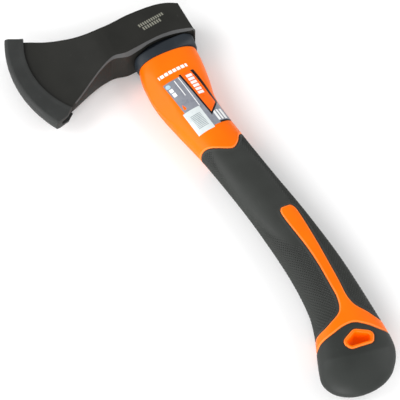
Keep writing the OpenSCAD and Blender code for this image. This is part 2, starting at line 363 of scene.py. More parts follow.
def piece(name, shaped, materials, body, node, crease=38, merge=0.0008):
    """Makes a piece from vertices, faces and kinds, and lets it ride on its body. materials maps a kind
    to a material, and the first is used for the kinds that it doesn't name."""
    verts, faces, kinds = shaped
    mesh = bpy.data.meshes.new(name)
    mesh.from_pydata([tuple(p) for p in to_row(verts)], [], faces)
    names = list(materials)
    for k in names:
        mesh.materials.append(materials[k])
    for polygon, kind in zip(mesh.polygons, kinds):
        polygon.material_index = names.index(kind) if kind in names else 0
    work = bmesh.new()
    work.from_mesh(mesh)
    bmesh.ops.remove_doubles(work, verts=work.verts, dist=merge * MM)
    bmesh.ops.dissolve_degenerate(work, dist=1e-7, edges=work.edges)
    open_edges = [e for e in work.edges if len(e.link_faces) == 1]
    if open_edges:
        bmesh.ops.holes_fill(work, edges=open_edges, sides=0)
    bmesh.ops.recalc_face_normals(work, faces=work.faces)
    work.to_mesh(mesh)
    work.free()
    mesh.shade_smooth()
    mesh.set_sharp_from_angle(angle=math.radians(crease))
    made = linked(name, mesh)
    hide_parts(node)
    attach(made, body)
    return made


def bore(made, cutter, crease):
    """Cuts cutter out of a piece."""
    tool = made.modifiers.new("bore", "BOOLEAN")
    tool.operation = "DIFFERENCE"
    tool.solver = "EXACT"
    tool.object = cutter
    view = bpy.context.evaluated_depsgraph_get()
    cut_mesh = bpy.data.meshes.new_from_object(made.evaluated_get(view), depsgraph=view)
    made.modifiers.clear()
    made.data = cut_mesh
    made.data.set_sharp_from_angle(angle=math.radians(crease))


# ---------------------------------------------------------------- materials
def group(name, inputs, outputs):
    """A shader node group with its input and output sockets."""
    tree = bpy.data.node_groups.new(name, "ShaderNodeTree")
    for label, kind, value in inputs:
        socket = tree.interface.new_socket(label, in_out="INPUT", socket_type=kind)
        if value is not None:
            socket.default_value = value
    for label, kind in outputs:
        tree.interface.new_socket(label, in_out="OUTPUT", socket_type=kind)
    return tree, tree.nodes.new("NodeGroupInput"), tree.nodes.new("NodeGroupOutput")


def node(tree, kind, values=None, **settings):
    """Adds a node, sets its properties and its sockets, and links the sockets that are given a socket."""
    made = tree.nodes.new(kind)
    for key, value in settings.items():
        setattr(made, key, value)
    for key, value in (values or {}).items():
        if isinstance(value, bpy.types.NodeSocket):
            tree.links.new(value, made.inputs[key])
        else:
            made.inputs[key].default_value = value
    return made


def maths(tree, operation, a, b=0.5, clamp=False):
    return node(tree, "ShaderNodeMath", {0: a, 1: b}, operation=operation, use_clamp=clamp).outputs[0]


def vector_maths(tree, operation, a, b):
    return node(tree, "ShaderNodeVectorMath", {0: a, 1: b}, operation=operation).outputs[0]


def ranged(tree, value, low, high, to_low=0.0, to_high=1.0):
    made = node(tree, "ShaderNodeMapRange", {0: value, 1: low, 2: high, 3: to_low, 4: to_high},
                interpolation_type="SMOOTHSTEP")
    return made.outputs[0]


def noise(tree, where, scale, detail=3.0, roughness=0.55):
    return node(tree, "ShaderNodeTexNoise",
                {"Vector": where, "Scale": scale, "Detail": detail, "Roughness": roughness}).outputs["Fac"]


FLOAT, VECTOR = "NodeSocketFloat", "NodeSocketVector"


def make_grain_group():
    """Moulded or painted grain: a fine height with a broad unevenness, and a shade from 0 to 1."""
    tree, given, made = group(
        "surface_grain",
        [("Where", VECTOR, None), ("Fine Scale", FLOAT, 2500.0), ("Broad Scale", FLOAT, 60.0),
         ("Broad Share", FLOAT, 0.3)],
        [("Height", FLOAT), ("Shade", FLOAT)])
    fine = noise(tree, given.outputs["Where"], given.outputs["Fine Scale"], 2.0)
    broad = noise(tree, given.outputs["Where"], given.outputs["Broad Scale"], 3.0)
    share = given.outputs["Broad Share"]
    height = maths(tree, "ADD", fine, maths(tree, "MULTIPLY", broad, share))
    tree.links.new(height, made.inputs["Height"])
    tree.links.new(ranged(tree, broad, 0.3, 0.7), made.inputs["Shade"])
    return tree


def make_scuff_group():
    """Sparse handling scuffs and dust, as a mask from 0 to 1."""
    tree, given, made = group(
        "handling_scuffs",
        [("Where", VECTOR, None), ("Scale", FLOAT, 90.0), ("Amount", FLOAT, 0.5)],
        [("Scuffs", FLOAT), ("Dust", FLOAT)])
    stretch = vector_maths(tree, "MULTIPLY", given.outputs["Where"], (1.0, 0.18, 0.6))
    streak = noise(tree, stretch, maths(tree, "MULTIPLY", given.outputs["Scale"], 9.0), 5.0, 0.65)
    patch = noise(tree, given.outputs["Where"], given.outputs["Scale"], 2.0)
    scuffs = maths(tree, "MULTIPLY", ranged(tree, streak, 0.6, 0.74), ranged(tree, patch, 0.5, 0.72))
    speck = noise(tree, given.outputs["Where"], 4200.0, 2.0, 0.6)
    dust = maths(tree, "MULTIPLY", ranged(tree, speck, 0.6, 0.8), ranged(tree, patch, 0.35, 0.75))
    for mask, label in ((scuffs, "Scuffs"), (dust, "Dust")):
        amount = maths(tree, "MULTIPLY", mask, given.outputs["Amount"], clamp=True)
        tree.links.new(amount, made.inputs[label])
    return tree


MARK_BLUR = 0.00015


def make_marks_group():
    """A printed or stamped rectangle on the side view, as a mask, with its own bars along it."""
    tree, given, made = group(
        "marking_bars",
        [("Where", VECTOR, None), ("Middle", VECTOR, (0, 0, 0)), ("Turn", FLOAT, 0.0),
         ("Half Length", FLOAT, 0.01), ("Half Width", FLOAT, 0.002), ("Bar Pitch", FLOAT, 0.003),
         ("Bar Share", FLOAT, 0.6)],
        [("Mask", FLOAT)])
    offset = vector_maths(tree, "SUBTRACT", given.outputs["Where"], given.outputs["Middle"])
    turned = node(tree, "ShaderNodeVectorRotate", {"Vector": offset, "Angle": given.outputs["Turn"]},
                  rotation_type="Z_AXIS").outputs[0]
    split = node(tree, "ShaderNodeSeparateXYZ", {0: turned})
    x, y, z = split.outputs
    within = []
    for label, off in (("Half Length", x), ("Half Width", y)):
        room = maths(tree, "SUBTRACT", given.outputs[label], maths(tree, "ABSOLUTE", off))
        within.append(ranged(tree, room, 0.0, MARK_BLUR))
    phase = maths(tree, "FRACT", maths(tree, "DIVIDE", x, given.outputs["Bar Pitch"]))
    bars = ranged(tree, maths(tree, "SUBTRACT", given.outputs["Bar Share"], phase), 0.0, 0.06)
    upward = ranged(tree, z, 0.0, 0.0005)
    mask = maths(tree, "MULTIPLY", maths(tree, "MULTIPLY", *within), maths(tree, "MULTIPLY", bars, upward))
    tree.links.new(mask, made.inputs["Mask"])
    return tree


GRAIN, SCUFFS, MARKS = make_grain_group(), make_scuff_group(), make_marks_group()


class Finish:
    """A material under construction: its tree, its shader and the coordinates that its patterns read."""

    def __init__(self, name, roughness, metallic=0.0, **constants):
        self.material = bpy.data.materials.new(name)
        self.material.use_nodes = True
        self.tree = self.material.node_tree
        self.shader = next(n for n in self.tree.nodes if n.type == "BSDF_PRINCIPLED")
        self.shader.inputs["Roughness"].default_value = roughness
        self.shader.inputs["Metallic"].default_value = metallic
        for key, value in constants.items():
            self.shader.inputs[key.replace("_", " ")].default_value = value
        self.where = node(self.tree, "ShaderNodeTexCoord").outputs["Object"]

    def use(self, tree, **values):
        made = self.tree.nodes.new("ShaderNodeGroup")
        made.node_tree = tree
        self.tree.links.new(self.where, made.inputs["Where"])
        for key, value in values.items():
            made.inputs[key.replace("_", " ")].default_value = value
        return made.outputs

    def marks(self, x, y, turn, half_length, half_width, pitch, share):
        """Mask of a row of bars about a point of the drawing, turned clockwise by degrees."""
        return self.use(MARKS, Middle=tuple(to_row([x, y, 0])), Turn=math.radians(-turn),
                        Half_Length=half_length * MM, Half_Width=half_width * MM,
                        Bar_Pitch=pitch * MM, Bar_Share=share)["Mask"]

    def mix(self, share, a, b):
        return node(self.tree, "ShaderNodeMix", {0: share, 6: a, 7: b}, data_type="RGBA").outputs[2]

    def colour(self, value):
        self.tree.links.new(value, self.shader.inputs["Base Color"])

    def rough(self, value):
        self.tree.links.new(value, self.shader.inputs["Roughness"])

    def bump(self, height, strength, distance):
        made = node(self.tree, "ShaderNodeBump",
                    {"Height": height, "Strength": strength, "Distance": distance})
        self.tree.links.new(made.outputs[0], self.shader.inputs["Normal"])


def moulded(name, dark, light, scuffed, roughness, grain_mm, grain_depth, scuffs, **constants):
    """Moulded plastic or rubber with a fine grain, uneven shade, light scuffs and dust."""
    made = Finish(name, roughness, **constants)
    grain = made.use(GRAIN, Fine_Scale=1 / (grain_mm * MM), Broad_Scale=45.0, Broad_Share=0.5)
    worn = made.use(SCUFFS, Amount=scuffs)
    shade = made.mix(grain["Shade"], (*dark, 1), (*light, 1))
    shade = made.mix(worn["Scuffs"], shade, (*scuffed, 1))
    made.colour(made.mix(worn["Dust"], shade, (*scuffed, 1)))
    made.rough(ranged(made.tree, maths(made.tree, "ADD", grain["Shade"], worn["Scuffs"]), 0, 1.4,
                      roughness - 0.05, roughness + 0.1))
    made.bump(grain["Height"], 0.5, grain_depth * MM)
    return made.material


def head_paint(name, dark, light):
    """Satin black paint on a forging, worn grey on the scuffs, and bare steel along the cutting edge."""
    made = Finish(name, 0.5, Specular_IOR_Level=0.24)
    tree = made.tree
    grain = made.use(GRAIN, Fine_Scale=900.0, Broad_Scale=38.0, Broad_Share=1.4)
    worn = made.use(SCUFFS, Scale=70.0, Amount=0.55)
    paint = made.mix(grain["Shade"], (*dark, 1), (*light, 1))
    paint = made.mix(worn["Scuffs"], paint, (0.05, 0.05, 0.047, 1))
    for shift, half_length, half_width_mm, pitch in ((0.0, 11.5, 1.5, 1.9), (-4.2, 8.4, 1.7, 2.1)):
        stamp = made.marks(STAMP_X + shift * 0.25, STAMP_Y + shift, STAMP_TURN, half_length,
                           half_width_mm, pitch, 0.62)
        paint = made.mix(stamp, paint, (0.2, 0.2, 0.165, 1))
    centre = to_row([*EDGE_CENTRE, 0])
    flat = vector_maths(tree, "SUBTRACT", made.where, tuple(centre))
    flat = vector_maths(tree, "MULTIPLY", flat, (1, 1, 0))
    reach = node(tree, "ShaderNodeVectorMath", {0: flat}, operation="LENGTH").outputs["Value"]
    wobble = maths(tree, "MULTIPLY", noise(tree, made.where, 260.0, 2.0), 0.0006)
    ground = ranged(tree, maths(tree, "ADD", reach, wobble), (EDGE_RADIUS - GROUND + 0.2) * MM,
                    (EDGE_RADIUS - GROUND + 0.5) * MM)
    lines = noise(tree, vector_maths(tree, "MULTIPLY", made.where, (40, 900, 300)), 1.6, 4.0)
    steel = made.mix(lines, (0.36, 0.37, 0.38, 1), (0.55, 0.55, 0.56, 1))
    made.colour(made.mix(ground, paint, steel))
    tree.links.new(ground, made.shader.inputs["Metallic"])
    rough = ranged(tree, grain["Shade"], 0, 1, 0.52, 0.62)
    made.rough(maths(tree, "SUBTRACT", rough, maths(tree, "MULTIPLY", ground, 0.18)))
    made.bump(grain["Height"], 0.6, 0.05 * MM)
    return made.material


def jacket_plastic(name, dark, light, glow=(0.0, 0.0, 0.0)):
    """Orange moulded plastic with a plain white printed bar across the shoulder. glow is a painted glow,
    emitted colour that stands in for light."""
    made = Finish(name, 0.36, Specular_IOR_Level=0.14, Emission_Color=(*glow, 1), Emission_Strength=1.0)
    grain = made.use(GRAIN, Fine_Scale=1800.0, Broad_Scale=30.0, Broad_Share=0.6)
    worn = made.use(SCUFFS, Scale=60.0, Amount=0.25)
    shade = made.mix(grain["Shade"], (*dark, 1), (*light, 1))
    shade = made.mix(worn["Scuffs"], shade, (0.85, 0.24, 0.06, 1))
    print_bar = made.marks(PRINT_X, PRINT_Y, PRINT_TURN, 12.6, 1.55, 3.6, 0.8)
    made.colour(made.mix(print_bar, shade, (0.86, 0.84, 0.8, 1)))
    made.rough(ranged(made.tree, grain["Shade"], 0, 1, 0.33, 0.42))
    made.bump(grain["Height"], 0.35, 0.03 * MM)
    return made.material


def ink(name, colour, light, roughness=0.3):
    """Printed film: an even ink with the slight mottle of the press and a thin gloss."""
    made = Finish(name, roughness, Specular_IOR_Level=0.25)
    grain = made.use(GRAIN, Fine_Scale=3800.0, Broad_Scale=140.0, Broad_Share=0.5)
    made.colour(made.mix(grain["Shade"], (*colour, 1), (*light, 1)))
    made.rough(ranged(made.tree, grain["Shade"], 0, 1, roughness - 0.04, roughness + 0.06))
    made.bump(grain["Height"], 0.2, 0.01 * MM)
    return made.material


def glass_fibre():
    """Pultruded bar: long glass strands in a clear yellowish resin."""
    made = Finish("pultruded_bar", 0.45)
    tree = made.tree
    strands = vector_maths(tree, "MULTIPLY", made.where, (1, 0.03, 1))
    fibre = noise(tree, strands, 2600.0, 4.0, 0.7)
    made.colour(made.mix(fibre, (0.5, 0.42, 0.2, 1), (0.78, 0.72, 0.5, 1)))
    made.bump(fibre, 0.5, 0.05 * MM)
    return made.material


def cast_resin():
    """Poured epoxy: dark amber with small bubbles and a slightly wavy face."""
    made = Finish("poured_epoxy", 0.22, Coat_Weight=0.4)
    tree = made.tree
    cells = node(tree, "ShaderNodeTexVoronoi", {"Vector": made.where, "Scale": 900.0}).outputs["Distance"]
    bubbles = ranged(tree, cells, 0.1, 0.22)
    broad = noise(tree, made.where, 140.0, 2.0)
    made.colour(made.mix(bubbles, (0.16, 0.13, 0.07, 1), (0.055, 0.045, 0.028, 1)))
    made.bump(maths(tree, "ADD", maths(tree, "MULTIPLY", bubbles, 0.35), broad), 0.6, 0.2 * MM)
    return made.material


# ---------------------------------------------------------------- camera, floor and light
AZIMUTH, ELEVATION = math.radians(-26), math.radians(57)
DISTANCE = 1.152
LENS_MM, SENSOR_MM = 143.6, 36
AIM_X, AIM_Y = 6.26, -4.3  # millimetres from the middle of the CAD box to the picture's centre
back = Vector((math.sin(AZIMUTH) * math.cos(ELEVATION), -math.cos(AZIMUTH) * math.cos(ELEVATION),
               math.sin(ELEVATION)))
middle = (cad_low + cad_high) / 2
target = Vector((middle.x + AIM_X * MM, middle.y + AIM_Y * MM, MID_Z * MM))
camera = linked("camera", bpy.data.cameras.new("camera"))
camera.data.sensor_width = SENSOR_MM
camera.data.lens = LENS_MM
camera.data.clip_end = 20
camera.location = target + back * DISTANCE
camera.rotation_mode = "QUATERNION"
camera.rotation_quaternion = (-back).to_track_quat("-Z", "Y")
bpy.context.scene.camera = camera
bpy.context.scene.view_settings.view_transform = "Standard"


def softbox(name, place, size, watts):
    """A square studio light that faces the object."""
    lamp = bpy.data.lights.new(name, "AREA")
    lamp.shape = "SQUARE"
    lamp.size = size
    lamp.energy = watts
    made = linked(name, lamp)
    made.location = place
    made.rotation_mode = "QUATERNION"
    made.rotation_quaternion = (target - Vector(place)).to_track_quat("-Z", "Y")


softbox("low_front_left", (-1.2, -1.5, 0.55), 1.7, 60)
softbox("back_left", (-1.5, 0.7, 1.0), 1.7, 30)
softbox("right", (1.6, -0.5, 1.0), 1.7, 26)

world = bpy.data.worlds.new("studio")
world.use_nodes = True
bpy.context.scene.world = world
sky = world.node_tree.nodes["Background"]
sky.inputs["Color"].default_value = (1, 1, 1, 1)
sky.inputs["Strength"].default_value = 0.48


FLOOR_GAP = 0.0002


def lay_floor():
    """Pale studio floor under the object."""
    floor_finish = Finish("studio_floor", 0.8)
    shade = noise(floor_finish.tree, floor_finish.where, 3.0)
    floor_finish.colour(floor_finish.mix(shade, (0.9, 0.9, 0.9, 1), (0.92, 0.92, 0.92, 1)))
    mesh = bpy.data.meshes.new("floor")
    made = bmesh.new()
    bmesh.ops.create_grid(made, x_segments=2, y_segments=2, size=4)
    made.to_mesh(mesh)
    made.free()
    mesh.materials.append(floor_finish.material)
    floor = linked("floor", mesh)
    floor.location.z = cad_low.z - FLOOR_GAP


lay_floor()

# ---------------------------------------------------------------- head
EDGE_CENTRE = (-6.8, 19.2)
EDGE_RADIUS = 103.6
GROUND = 9.0
TOE_Y, HEEL_Y = 58.0, -28.7
CROWN = [(POLL_X, 27), (19, 31.5), (7, 33.8), (-13, 33.6), (-34, 31), (-53, 33.4),
         (-74, 42.4), (-90, 51.3), (-103.2, 58)]
BEARD = [(-98.7, -28.7), (-86, -23), (-74, -16.4), (-62.5, -9.6), (-51, -3.6), (-40, -0.4),
         (-29, -2.6), (-19, -1), (-9, 1.2), (2, 2.2), (13, 1.4), (21, -0.4), (POLL_X, -2)]
CHEEK_X = -36
CHEEK = [(CHEEK_X, HEAD_HALF), (-44, 13), (-52, 10.8), (-60, 8.4), (-72, 5.3), (-83, 3.4), (-95, 2.5),
         (-115, 2.2)]
BEVEL_END = 44
BEVEL = [(0, 0.25), (3, 1.1), (8, 1.9), (14, 2.6), (24, 5), (BEVEL_END, 15.4)]
CHAMFER = [(-115, 0.8), (-60, 0.8), (-45, 1.0), (-38, 1.8), (-27, 2.6), (-17, 2.1), (-8, 1.5),
           (2, 1.7), (20, 1.8), (POLL_X, 1.3)]
BAND_X = -80  # the chamfer's painted highlight starts this far toward the edge
HEAD_OUTLINE = np.vstack([bend(CROWN), arc(EDGE_CENTRE, EDGE_RADIUS, TOE_Y, HEEL_Y, 60)[1:-1], bend(BEARD)])
STAMP_X, STAMP_Y, STAMP_TURN = 1.5, 20.5, 9.0
PRINT_X, PRINT_Y, PRINT_TURN = -4.8, -31.5, 6.0


def head_depth(xy):
    return inside(HEAD_OUTLINE, xy)


def from_edge(xy):
    """Distance in from the cutting edge."""
    return EDGE_RADIUS - np.hypot(xy[:, 0] - EDGE_CENTRE[0], xy[:, 1] - EDGE_CENTRE[1])


def cheek_half(xy):
    """Half thickness from cheek to cheek."""
    return np.where(xy[:, 0] > CHEEK_X, HEAD_HALF, along(CHEEK, xy[:, 0]))


def bevel_half(distance):
    """Half thickness that the bevel allows at a distance in from the cutting edge."""
    return along(BEVEL, np.clip(distance, 0, BEVEL_END))


def blade_half(xy):
    """Half thickness of the head before its edges are broken."""
    return np.minimum(soft_min(cheek_half(xy), bevel_half(from_edge(xy)), 0.4), HEAD_HALF)


def chamfer_above(xy):
    """Height above the line where the cheek's lower chamfer starts to fall."""
    return xy[:, 1] - along(BEARD, xy[:, 0]) - along(CHAMFER, xy[:, 0])


def head_skin(xy):
    deep = np.maximum(head_depth(xy), 0)
    half = blade_half(xy)
    radius = np.minimum(1.5, 0.4 * half)
    z = half - round_over(deep, radius, radius)
    fall = np.clip(-chamfer_above(xy), 0, along(CHAMFER, xy[:, 0])) * fade(half, 3, 9)
    return np.column_stack([xy, np.minimum(z, half - fall)])


def make_head():
    """Forged head, with the tapered eye cut right through it."""
    made = sheet(np.arange(-112, 30, 1.4), np.arange(-32, 62, 1.4))
    cut(made, head_depth)
    for level in (0.25, 0.8, 1.5):
        cut(made, head_depth, level)
    cut(made, chamfer_above)

    def kind(xy):
        band = (chamfer_above(xy) < 0) & (xy[:, 0] > BAND_X)
        return np.where(head_depth(xy) < 0, "", np.where(band, "band", "cheek"))

    shaped = shape(made, kind, {"cheek": head_skin, "band": head_skin}, wall="cheek")
    # The chamfer band gets a lighter copy of the black paint: a painted highlight along the lit chamfer.
    paints = {"cheek": head_paint("forged_black_paint", (0.0105, 0.0106, 0.009), (0.0138, 0.0138, 0.0118)),
              "band": head_paint("black_paint_painted_highlight", (0.056, 0.057, 0.058), (0.072, 0.073, 0.073))}
    head = piece("head_forging", shaped, paints, "axe", "axe_head", crease=32)
    eye = eye_cutter()
    bore(head, eye, crease=32)
    bpy.data.objects.remove(eye)


SLOT_STEPS = 16


def slot_ring(length, width, y):
    """Round-ended slot round the eye's centre line at a height, as a ring of points."""
    ring = []
    for end, start in ((1, -90), (-1, 90)):
        for k in range(SLOT_STEPS + 1):
            a = math.radians(start + 180 * k / SLOT_STEPS)
            ring.append((end * (length - width) / 2 + width / 2 * math.cos(a), y, width / 2 * math.sin(a)))
    return ring


EYE_LENGTH, EYE_WIDTH, EYE_FLARE = 38.0, 19.0, 1.6


def eye_size(y):
    """Length and width of the tapered eye at a height."""
    grown = 2 * EYE_FLARE * (y + 4) / 40
    return EYE_LENGTH + grown, EYE_WIDTH + grown


def loft(rings):
    """Closed solid through rings of equal length."""
    verts = [p for ring in rings for p in ring]
    n = len(rings[0])
    faces = [tuple(range(n))[::-1], tuple(range((len(rings) - 1) * n, len(rings) * n))]
    for i in range(len(rings) - 1):
        for k in range(n):
            m = (k + 1) % n
            faces.append((i * n + k, i * n + m, (i + 1) * n + m, (i + 1) * n + k))
    return verts, faces, [""] * len(faces)


def plain_object(name, shaped):
    mesh = bpy.data.meshes.new(name)
    mesh.from_pydata([tuple(p) for p in to_row(shaped[0])], [], shaped[1])
    work = bmesh.new()
    work.from_mesh(mesh)
    bmesh.ops.recalc_face_normals(work, faces=work.faces)
    work.to_mesh(mesh)
    work.free()
    return linked(name, mesh)


def eye_cutter():
    """The eye's shape, with its mouth at the crown slightly broken."""
    rings = [slot_ring(*eye_size(y), y) for y in (-8, 0, 10, 20, 29)]
    for y, grow in ((31.4, 0.0), (33.9, 2.4), (40, 4)):
        length, width = eye_size(y)
        rings.append(slot_ring(length + grow, width + grow, y))
    return plain_object("eye_cutter", loft(rings))


# ---------------------------------------------------------------- edge guard
GUARD_NOSE, GUARD_GAP, GUARD_END_GAP = 3.0, 0.35, 0.9
GUARD_RADIUS = EDGE_RADIUS + GUARD_NOSE
GUARD_TOE = [(-104.8, 60.6), (-88, 54)]
GUARD_HEEL = [(-84.5, -22.4), (-89.7, -28), (-100.6, -31.2)]
GUARD_OPENING, GUARD_OPENING_RADIUS = (-23.5, 22.5), 75
GUARD_INNER = arc(GUARD_OPENING, GUARD_OPENING_RADIUS, GUARD_HEEL[0][1], GUARD_TOE[1][1], 40)
GUARD_OUTLINE = np.vstack([arc(EDGE_CENTRE, GUARD_RADIUS, GUARD_TOE[0][1], GUARD_HEEL[2][1], 60),
                           [GUARD_HEEL[1]], GUARD_INNER])


def guard_depth(xy):
    return inside(GUARD_OUTLINE, xy)


def channel_depth(xy):
    """Distance inside the channel that holds the blade."""
    ends = np.minimum(xy[:, 1] - HEEL_Y, TOE_Y - xy[:, 1]) + GUARD_END_GAP
    return np.minimum(from_edge(xy) + GUARD_GAP, ends)


def guard_outer(xy):
    """Flat walls with a rolled nose, a raised lip along the open side and softly broken edges."""
    nose = from_edge(xy) + GUARD_NOSE
    from_lip = np.hypot(xy[:, 0] - GUARD_OPENING[0], xy[:, 1] - GUARD_OPENING[1]) - GUARD_OPENING_RADIUS
    z = GUARD_HALF - round_over(nose, 5.5, 2.9) - round_over(np.maximum(guard_depth(xy), 0), 0.7, 0.7)
    hollow = fade(nose, 3.4, 4.2) * fade(from_lip, 2.4, 3.2)
    return np.column_stack([xy, np.maximum(z - 0.25 * hollow, 0.1)])


def guard_inner(xy):
    """Inner walls of the channel, clear of the blade by the gap."""
    half = np.minimum(cheek_half(xy), bevel_half(from_edge(xy) + GUARD_GAP))
    return np.column_stack([xy, np.minimum(half + GUARD_GAP, GUARD_HALF - 0.9)])


def make_guard():
    """Slip-on crescent that covers the cutting edge."""
    made = sheet(np.arange(-115, -80, 1.1), np.arange(-33, 63, 1.2))
    cut(made, guard_depth)
    for level in (0.2, 0.7):
        cut(made, guard_depth, level)
    for level in (2.6, 2.0, 0.8, -0.2, -1.2):
        cut(made, from_edge, -level)
    cut(made, channel_depth)

    def kind(xy):
        return np.where(guard_depth(xy) < 0, "", np.where(channel_depth(xy) > 0, "channel", "nose"))

    shaped = shape(made, kind, {"channel": guard_outer, "nose": guard_outer}, {"channel": guard_inner})
    plastic = moulded("guard_plastic", (0.0165, 0.0178, 0.017), (0.02, 0.0216, 0.0206), (0.07, 0.073, 0.075),
                      0.55, grain_mm=0.5, grain_depth=0.05, scuffs=0.6, Specular_IOR_Level=0.4)
    piece("guard_moulding", shaped, {"channel": plastic}, "guard", "edge_guard")


# ---------------------------------------------------------------- handle
def seam(depth_in):
    """Drop of a moulded rim where two materials meet."""
    return round_over(depth_in, 1.2, 0.9)


def parting(points):
    """Fine groove along the mould's parting line, at the back and the belly."""
    off = np.minimum(points[:, 1], AROUND - points[:, 1])
    return 0.1 * np.clip(1 - off / 0.5, 0, 1)


def under_skin(points):
    """The jacket's surface under the soft grip and the butt cap."""
    return skin(points, GRIP_T)


def orange_skin(points):
    at_shoulder = round_over(points[:, 0], 1.6, 1.1)
    rim = seam(np.minimum(-grip_depth(points), -cap_depth(points)))
    mouth = round_over(-hole_depth(points), 1.1, 1.0)
    return skin(points, at_shoulder + rim + mouth + parting(points))


def make_jacket():
    """Orange body of the handle: shoulder, stripe, fork and the hang hole's lining, all one moulding."""
    rows = np.concatenate([[0, 0.25, 0.7, 1.3], np.arange(2, SHAFT + DOME_ARC + 0.1, 1.25)])
    rows[-1] = SHAFT + DOME_ARC
    made = sheet(rows, np.concatenate([[0, 0.25, 0.5], np.linspace(1.2, AROUND - 1.2, 46),
                                       [AROUND - 0.5, AROUND - 0.25, AROUND]]))
    for level in (0.0, -0.35, -1.2):
        cut(made, grip_depth, level)
        cut(made, cap_depth, level)
    for level in (0.0, -0.3, -1.1):
        cut(made, hole_depth, level)

    def kind(points):
        seam_depth = np.maximum(grip_depth(points), cap_depth(points))
        found = np.where(seam_depth > 0, "under", np.where(seam_depth > -1.1, "rim", "orange"))
        return np.where(hole_depth(points) > 0, "", found)

    shaped = shape(made, kind, {"orange": orange_skin, "rim": orange_skin, "under": under_skin},
                   wall="lining")
    # The seam rims are a lighter copy of the orange: a painted highlight on the rounded edges.
    plastics = {"orange": jacket_plastic("orange_moulding", (0.83, 0.132, 0.0), (0.87, 0.149, 0.0)),
                "rim": jacket_plastic("orange_rim_painted_highlight", (0.9, 0.19, 0.028), (0.95, 0.22, 0.04)),
                # The hang hole's lining is a redder copy of the orange with a painted glow, standing in for
                # the light inside the hole.
                "lining": jacket_plastic("orange_lining_painted_glow", (0.84, 0.11, 0.0), (0.88, 0.125, 0.0),
                                         glow=(0.15, 0.032, 0.0))}
    jacket = piece("handle_moulding", shaped, plastics, "axe", "handle_jacket", crease=42)
    bore(jacket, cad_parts["fibreglass_core"], crease=42)


KNURL_ROUND, KNURL_ALONG, KNURL_DEPTH = AROUND / 25, 2.6, 0.8
# The smooth palm: its middle line, and its half length and half width about a height
PALM_LINE = [(-100, 0), (-150, 5), (-215, 11)]
PALM_Y, PALM_HALF_LENGTH, PALM_HALF_WIDTH = -148, 62, 15.5


def knurl(points):
    """Depth of the diamond knurl, none on the smooth palm of each side or near a seam."""
    u, v = points[:, 1] / KNURL_ROUND, points[:, 0] / KNURL_ALONG
    p, q = u + v, u - v
    groove = np.minimum(np.abs(p - np.round(p)), np.abs(q - np.round(q)))
    cut_in = 1 - 2 * groove
    xy = side_view(points)
    palm_x = (xy[:, 0] - along(PALM_LINE, xy[:, 1])) / PALM_HALF_WIDTH
    palm_y = (xy[:, 1] - PALM_Y) / PALM_HALF_LENGTH
    rough = fade(np.sqrt(palm_x**2 + palm_y**2), 0.8, 1.1)
    return KNURL_DEPTH * (cut_in * rough + 0.45 * (1 - rough)) * fade(grip_depth(points), 0.9, 2.4)


def soft_part(made, depth, relief, creases=()):
    """Solid moulded over the jacket from a sheet: its outline, seam rim and creases are cut, then shaped."""
    for level in (0.0, 0.35, 1.2):
        cut(made, depth, level)
    for crease in creases:
        cut(made, crease)

    def soft_skin(points):
        return skin(points, seam(depth(points)) + relief(points))

    return shape(made, lambda points: np.where(depth(points) > 0, "soft", ""), {"soft": soft_skin},
                 {"soft": under_skin})


def make_grip():
    """Soft grip moulded over the jacket."""
    step = KNURL_ALONG / 4
    first = step * math.floor(80 / step)
    rows = np.arange(first, SHAFT + 1, step)
    shaped = soft_part(sheet(rows, np.linspace(0, AROUND, 101)), grip_depth, knurl)
    rubber = moulded("soft_grip_rubber", (0.019, 0.021, 0.0188), (0.0232, 0.0257, 0.0232),
                     (0.06, 0.065, 0.06), 0.62, grain_mm=0.35, grain_depth=0.03, scuffs=0.45,
                     Specular_IOR_Level=0.35)
    piece("grip_rubber_sleeve", shaped, {"soft": rubber}, "axe", "grip_sleeve", crease=36)


def make_butt():
    """Smooth soft butt, with the slanted edge where its flat side ends."""
    rows = np.concatenate([np.arange(255, SHAFT, 0.9), np.linspace(SHAFT, SHAFT + DOME_ARC, 48)])

    def past_edge(points):
        xy = side_view(points)
        return xy[:, 1] - along(BUTT_EDGE, xy[:, 0])

    shaped = soft_part(sheet(rows, np.linspace(0, AROUND, 65)), cap_depth, parting, [past_edge])
    rubber = moulded("soft_butt_rubber", (0.0135, 0.0158, 0.0142), (0.0165, 0.0192, 0.0172),
                     (0.04, 0.044, 0.04), 0.58, grain_mm=0.4, grain_depth=0.03, scuffs=0.4,
                     Specular_IOR_Level=0.3)
    piece("butt_rubber_cap", shaped, {"soft": rubber}, "axe", "butt_cap", crease=30)


RING_POINTS = 96
COLLAR_SHIFT, COLLAR_PROUD, COLLAR_THIN = 0.5, 0.8, 0.6
SPIGOT_PLAY = 0.8


def collar_ring(inset, y, share=1.0):
    """Outline of the collar, drawn in by inset. It is the handle's section at share 0 and squarer toward
    the poll at share 1. Near the top it rises to follow the head's underside."""
    ring = []
    for k in range(RING_POINTS):
        a = 2 * math.pi * k / RING_POINTS
        squareness = SQUARENESS + share * (3.6 if math.cos(a) > 0 else 0.6)
        reach = math.copysign(abs(math.cos(a)) ** (2 / squareness), math.cos(a))
        lift = math.copysign(abs(math.sin(a)) ** (2 / squareness), math.sin(a))
        half = float(half_width(-SHOULDER_Y)) + COLLAR_PROUD - inset
        x = float(mid_x(-SHOULDER_Y)) + COLLAR_SHIFT + half * reach
        high = min(COLLAR_TOP + 2.4 * float(fade(x, -14, 8)), float(along(BEARD, x)) - 0.8) - COLLAR_TOP
        rise = high * float(fade(y, -SHOULDER_Y + 3, COLLAR_TOP - 2))
        ring.append((x, y + rise, (float(along(GIRTH, -SHOULDER_Y)) - COLLAR_THIN - inset) * lift))
    return ring


